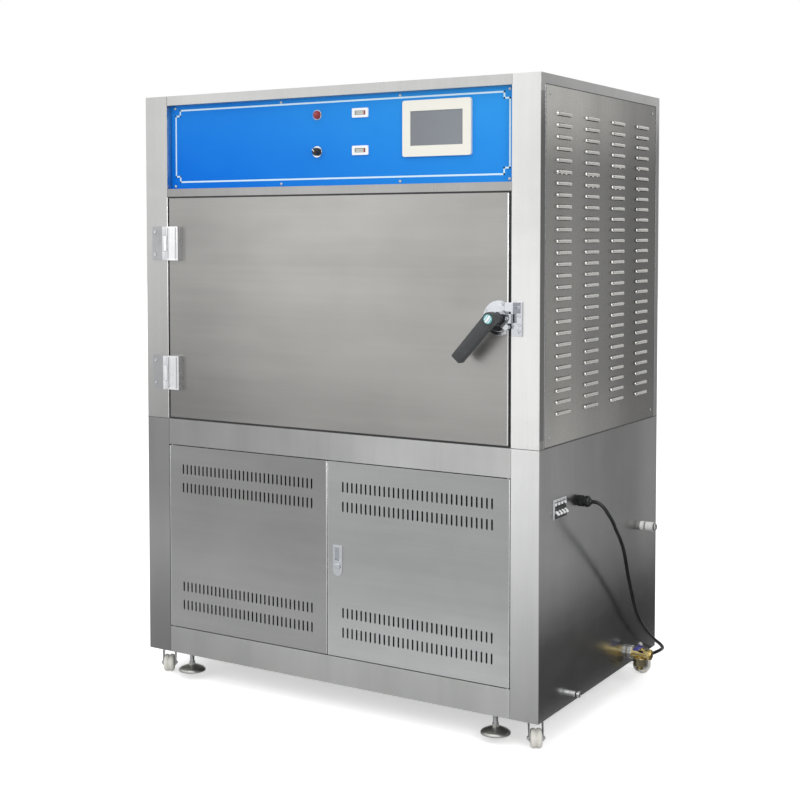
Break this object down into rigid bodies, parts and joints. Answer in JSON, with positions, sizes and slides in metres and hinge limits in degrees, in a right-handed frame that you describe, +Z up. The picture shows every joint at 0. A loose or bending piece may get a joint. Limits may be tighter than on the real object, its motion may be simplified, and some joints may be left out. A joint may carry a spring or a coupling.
{
  "type": "accelerated weathering tester",
  "caption": "Floor-standing weathering test cabinet with a hinged chamber door, louvred sides, control panel, equipment doors, casters and levelling feet.",
  "frame": {"origin": "on the floor, under the middle of the box around the machine, its cord left out", "axes": "+Z up, +X to the right seen from the front, +Y to the back"},
  "size_m": [1.3708, 1.024, 1.7051],
  "materials": {
    "stainless": "vertically brushed",
    "stainless_dark": "brushed, in shade",
    "cast_steel": "satin chromed",
    "panel_blue": "satin print with a pale border",
    "cream_plastic": "fine grain",
    "white_plastic": "smooth",
    "black_plastic": "fine grain",
    "lever_grey": "dark grip with a pale cap",
    "screen": "dull display glass",
    "red_lens": "ribbed lens",
    "rubber_black": "smooth",
    "rubber_white": "smooth",
    "brass": "cast and turned",
    "valve_blue": "dipped",
    "wheel_white": "smooth",
    "steel": "zinc plated",
    "lamp_glass": "coated tube",
    "motor_paint": "semi gloss",
    "board": "powder coat"
  },
  "bodies": {
    "cabinet": {"upper_cabinet": "stainless", "lower_cabinet": "stainless_dark", "rear_panel": "stainless_dark", "left_louvre_panel": "stainless", "right_louvre_panel": "stainless", "panel_screws": "steel", "control_panel": "panel_blue", "screen_bezel": "cream_plastic", "screen_glass": "screen", "hour_counters": "white_plastic", "alarm_lamp": "red_lens", "switch_body": "cast_steel", "hinge_leaves": "cast_steel", "latch_strike": "cast_steel", "magnet_catches": "black_plastic", "breaker_body": "white_plastic", "cord_gland": "black_plastic", "power_cord": "rubber_black", "cord_coil": "rubber_black", "power_plug": "rubber_black", "water_inlet": "white_plastic", "drain_valve": "brass", "overflow_tube": "steel", "caster_plates": "steel", "chamber_liner": "stainless", "uv_lamps": "lamp_glass", "lamp_holders": "white_plastic", "specimen_rack": "stainless", "specimen_holders": "stainless", "water_tray": "stainless", "blower_motor": "motor_paint", "electrical_plate": "board", "water_tank": "stainless"},
    "main_door": {"door_outer": "stainless", "door_inner": "stainless", "door_gasket": "rubber_white", "hinge_blocks": "cast_steel", "latch_base": "cast_steel"},
    "latch": {"latch_cam": "cast_steel", "latch_lever": "lever_grey"},
    "left_lower_door": {"left_lower_door": "stainless_dark"},
    "right_lower_door": {"right_lower_door": "stainless_dark", "lock_body": "cast_steel"},
    "lock_cylinder": {"lock_cylinder": "cast_steel"},
    "switch_knob": {"switch_knob": "black_plastic"},
    "breaker_toggles": {"breaker_toggles": "white_plastic"},
    "drain_lever": {"drain_lever": "valve_blue"},
    "blower_wheel": {"blower_wheel": "steel"},
    "caster_front_left": {"fork_front_left": "steel"},
    "wheel_front_left": {"wheel_front_left": "wheel_white"},
    "foot_front_left": {"foot_front_left": "cast_steel"},
    "caster_front_right": {"fork_front_right": "steel"},
    "wheel_front_right": {"wheel_front_right": "wheel_white"},
    "foot_front_right": {"foot_front_right": "cast_steel"},
    "caster_back_left": {"fork_back_left": "steel"},
    "wheel_back_left": {"wheel_back_left": "wheel_white"},
    "foot_back_left": {"foot_back_left": "cast_steel"},
    "caster_back_right": {"fork_back_right": "steel"},
    "wheel_back_right": {"wheel_back_right": "wheel_white"},
    "foot_back_right": {"foot_back_right": "cast_steel"}
  },
  "joints": [
    {"name": "main_door_hinge", "type": "hinge", "parent": "cabinet", "child": "main_door", "pos_m": [-0.5925, -0.38035, 1.091], "axis": [0, 0, -1], "range_deg": [0, 110]},
    {"name": "latch_turn", "type": "hinge", "parent": "main_door", "child": "latch", "pos_m": [0.4945, -0.39935, 1.095], "axis": [0, -1, 0], "range_deg": [0, 45]},
    {"name": "left_lower_door_hinge", "type": "hinge", "parent": "cabinet", "child": "left_lower_door", "pos_m": [-0.583, -0.36385, 0.421], "axis": [0, 0, -1], "range_deg": [0, 110]},
    {"name": "right_lower_door_hinge", "type": "hinge", "parent": "cabinet", "child": "right_lower_door", "pos_m": [0.518, -0.36385, 0.421], "axis": [0, 0, 1], "range_deg": [0, 110]},
    {"name": "lock_turn", "type": "hinge", "parent": "right_lower_door", "child": "lock_cylinder", "pos_m": [0.0025, -0.35935, 0.403], "axis": [0, 1, 0], "range_deg": [0, 90]},
    {"name": "switch_turn", "type": "hinge", "parent": "cabinet", "child": "switch_knob", "pos_m": [-0.0745, -0.35935, 1.53], "axis": [0, 1, 0], "range_deg": [0, 90]},
    {"name": "breaker_toggle", "type": "hinge", "parent": "cabinet", "child": "breaker_toggles", "pos_m": [0.6035, -0.25135, 0.604], "axis": [0, -1, 0], "range_deg": [0, 76]},
    {"name": "drain_lever_turn", "type": "hinge", "parent": "cabinet", "child": "drain_lever", "pos_m": [0.6435, 0.22265, 0.129], "axis": [0, 0, 1], "range_deg": [0, 90]},
    {"name": "blower_spin", "type": "hinge", "parent": "cabinet", "child": "blower_wheel", "pos_m": [-0.0325, 0.19065, 0.975], "axis": [0, 1, 0], "continuous": true},
    {"name": "caster_swivel_front_left", "type": "hinge", "parent": "cabinet", "child": "caster_front_left", "pos_m": [-0.6395, -0.31735, 0.072], "axis": [0, 0, 1], "continuous": true},
    {"name": "wheel_spin_front_left", "type": "hinge", "parent": "caster_front_left", "child": "wheel_front_left", "pos_m": [-0.63155, -0.33007, 0.025], "axis": [0.848, 0.5299, 0], "continuous": true},
    {"name": "foot_slide_front_left", "type": "slide", "parent": "cabinet", "child": "foot_front_left", "axis": [0, 0, 1], "range_m": [-0.026, 0]},
    {"name": "caster_swivel_front_right", "type": "hinge", "parent": "cabinet", "child": "caster_front_right", "pos_m": [0.5745, -0.31735, 0.072], "axis": [0, 0, 1], "continuous": true},
    {"name": "wheel_spin_front_right", "type": "hinge", "parent": "caster_front_right", "child": "wheel_front_right", "pos_m": [0.58245, -0.33007, 0.025], "axis": [0.848, 0.5299, 0], "continuous": true},
    {"name": "foot_slide_front_right", "type": "slide", "parent": "cabinet", "child": "foot_front_right", "axis": [0, 0, 1], "range_m": [-0.026, 0]},
    {"name": "caster_swivel_back_left", "type": "hinge", "parent": "cabinet", "child": "caster_back_left", "pos_m": [-0.6395, 0.37865, 0.072], "axis": [0, 0, 1], "continuous": true},
    {"name": "wheel_spin_back_left", "type": "hinge", "parent": "caster_back_left", "child": "wheel_back_left", "pos_m": [-0.63155, 0.39137, 0.025], "axis": [0.848, -0.5299, 0], "continuous": true},
    {"name": "foot_slide_back_left", "type": "slide", "parent": "cabinet", "child": "foot_back_left", "axis": [0, 0, 1], "range_m": [-0.026, 0]},
    {"name": "caster_swivel_back_right", "type": "hinge", "parent": "cabinet", "child": "caster_back_right", "pos_m": [0.5745, 0.37865, 0.072], "axis": [0, 0, 1], "continuous": true},
    {"name": "wheel_spin_back_right", "type": "hinge", "parent": "caster_back_right", "child": "wheel_back_right", "pos_m": [0.58245, 0.39137, 0.025], "axis": [0.848, -0.5299, 0], "continuous": true},
    {"name": "foot_slide_back_right", "type": "slide", "parent": "cabinet", "child": "foot_back_right", "axis": [0, 0, 1], "range_m": [-0.026, 0]}
  ]
}
